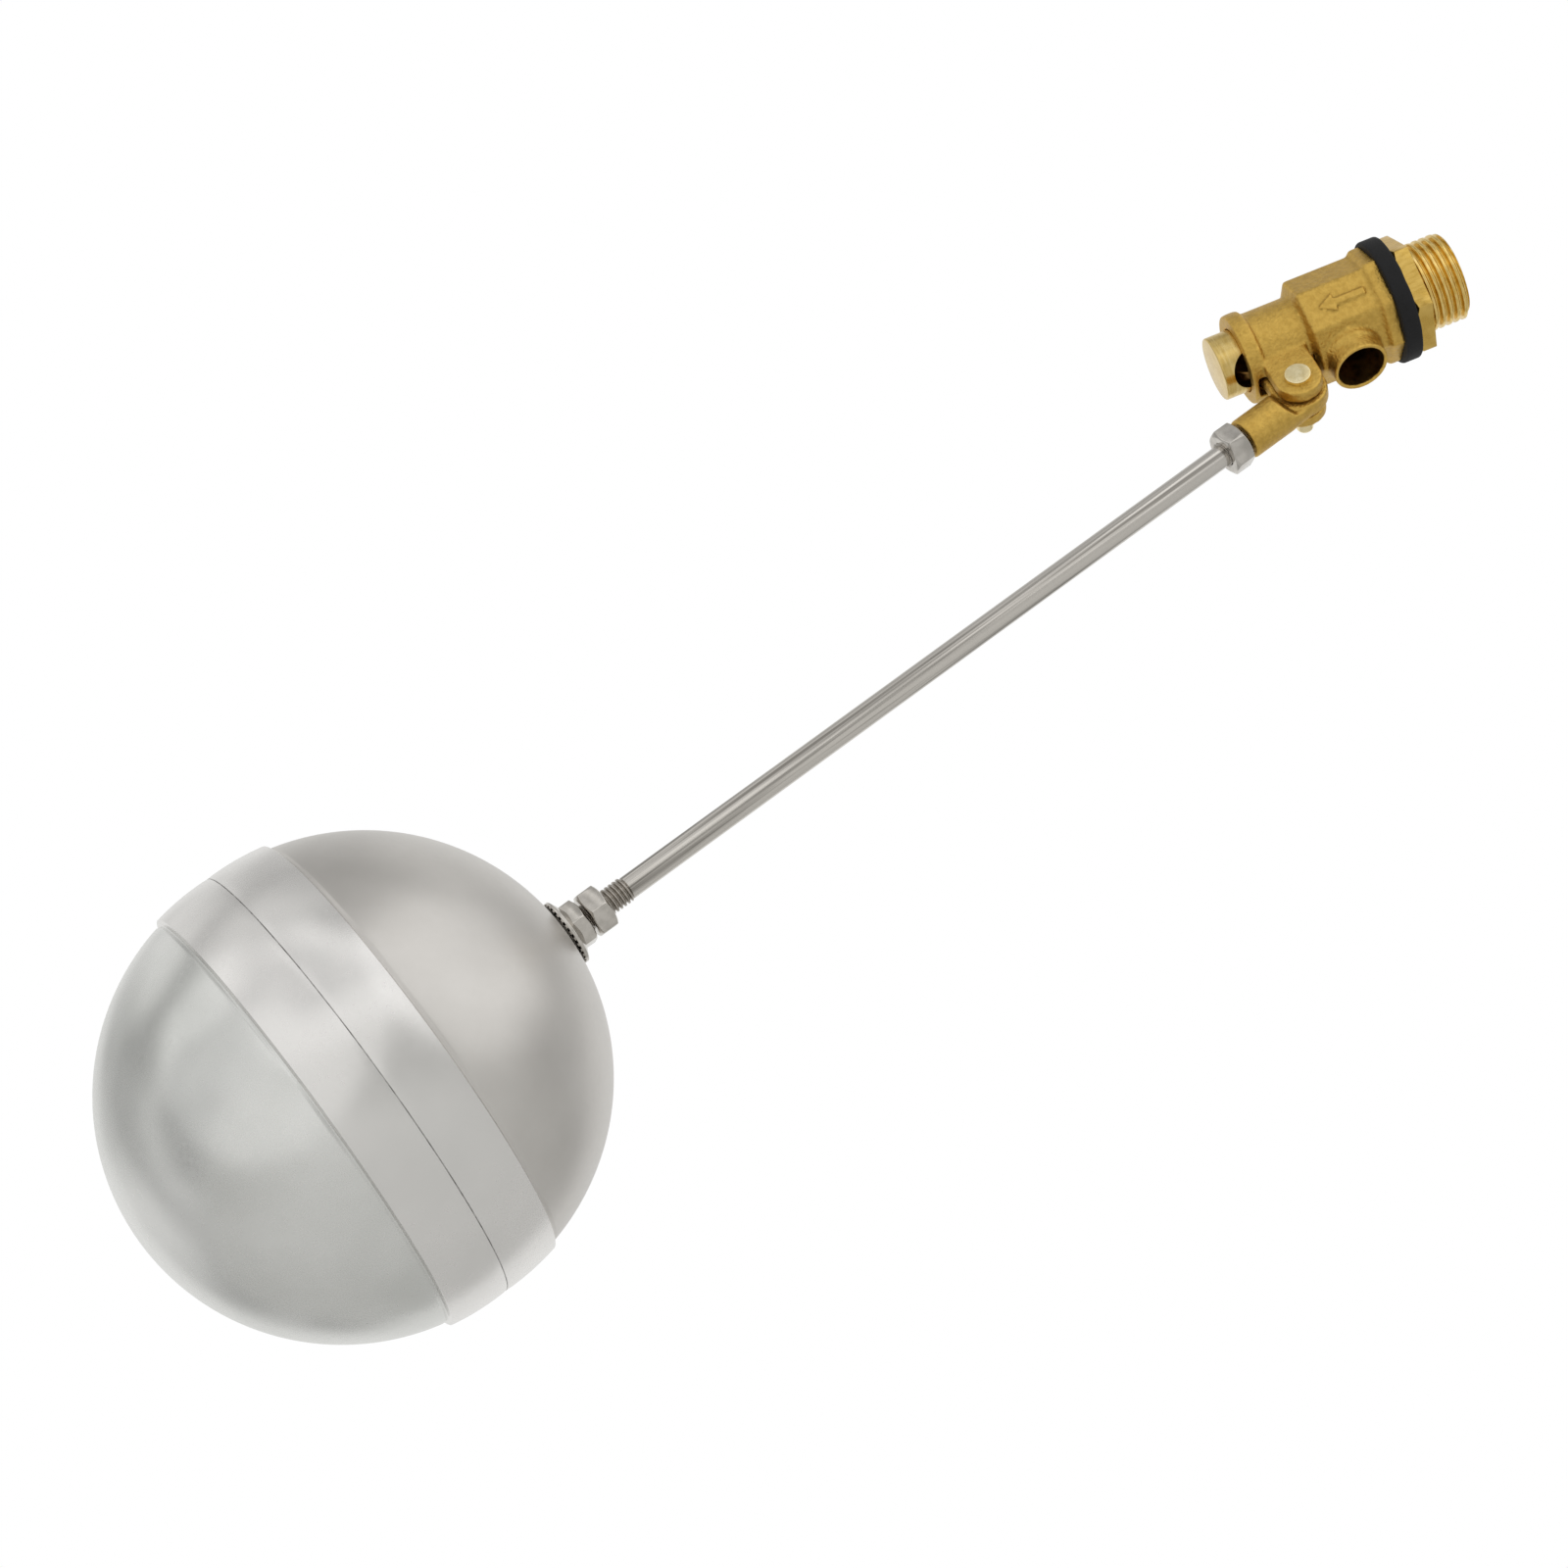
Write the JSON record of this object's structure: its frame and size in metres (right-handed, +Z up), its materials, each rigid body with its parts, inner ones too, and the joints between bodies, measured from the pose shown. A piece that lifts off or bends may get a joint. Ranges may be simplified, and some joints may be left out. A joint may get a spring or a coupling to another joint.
{
  "type": "float valve",
  "caption": "Brass tank float valve with a half-inch male inlet, down spout, sliding piston, pinned lever, steel rod and round steel float.",
  "frame": {"origin": "on the inlet thread's axis, on the flange face that the sealing washer bears on, so it is where the tank wall is clamped", "axes": "+X along the body out of the inlet thread, -X towards the piston and float; +Z up as mounted, with the spout pointing down; Y along the pivot pin, whose head is at -Y"},
  "size_m": [0.3513, 0.1066, 0.1666],
  "materials": {
    "cast_brass": "cast, bead blasted",
    "turned_brass": "machined",
    "pin_brass": "machined, pale",
    "black_rubber": "moulded, matte",
    "steel_nut": "satin",
    "steel_rod": "drawn",
    "float_steel": "polished"
  },
  "bodies": {
    "valve": {"valve_body": "cast_brass", "sealing_washer": "black_rubber", "inlet_lock_nut": "turned_brass", "pivot_pin": "pin_brass"},
    "piston": {"piston": "turned_brass", "piston_seal_disc": "black_rubber"},
    "float_arm": {"lever": "cast_brass", "lever_lock_nut": "steel_nut", "float_rod": "steel_rod", "ball_lock_nut": "steel_nut", "ball_flange_nut": "steel_nut", "float_boss": "steel_nut", "float_shell_rod_side": "float_steel", "float_shell_far_side": "float_steel", "float_seam_weld": "float_steel", "float_backing_ring": "float_steel"}
  },
  "joints": [
    {"name": "float_arm_swing", "type": "hinge", "parent": "valve", "child": "float_arm", "pos_m": [-0.0271, 0, -0.0165], "axis": [0, 1, 0], "range_deg": [0, 18]},
    {"name": "piston_slide", "type": "slide", "parent": "valve", "child": "piston", "axis": [1, 0, 0], "range_m": [0, 0.005]}
  ],
  "couplings": [
    {"joint": "piston_slide", "follows": "float_arm_swing", "m_per_rad": 0.0154}
  ]
}
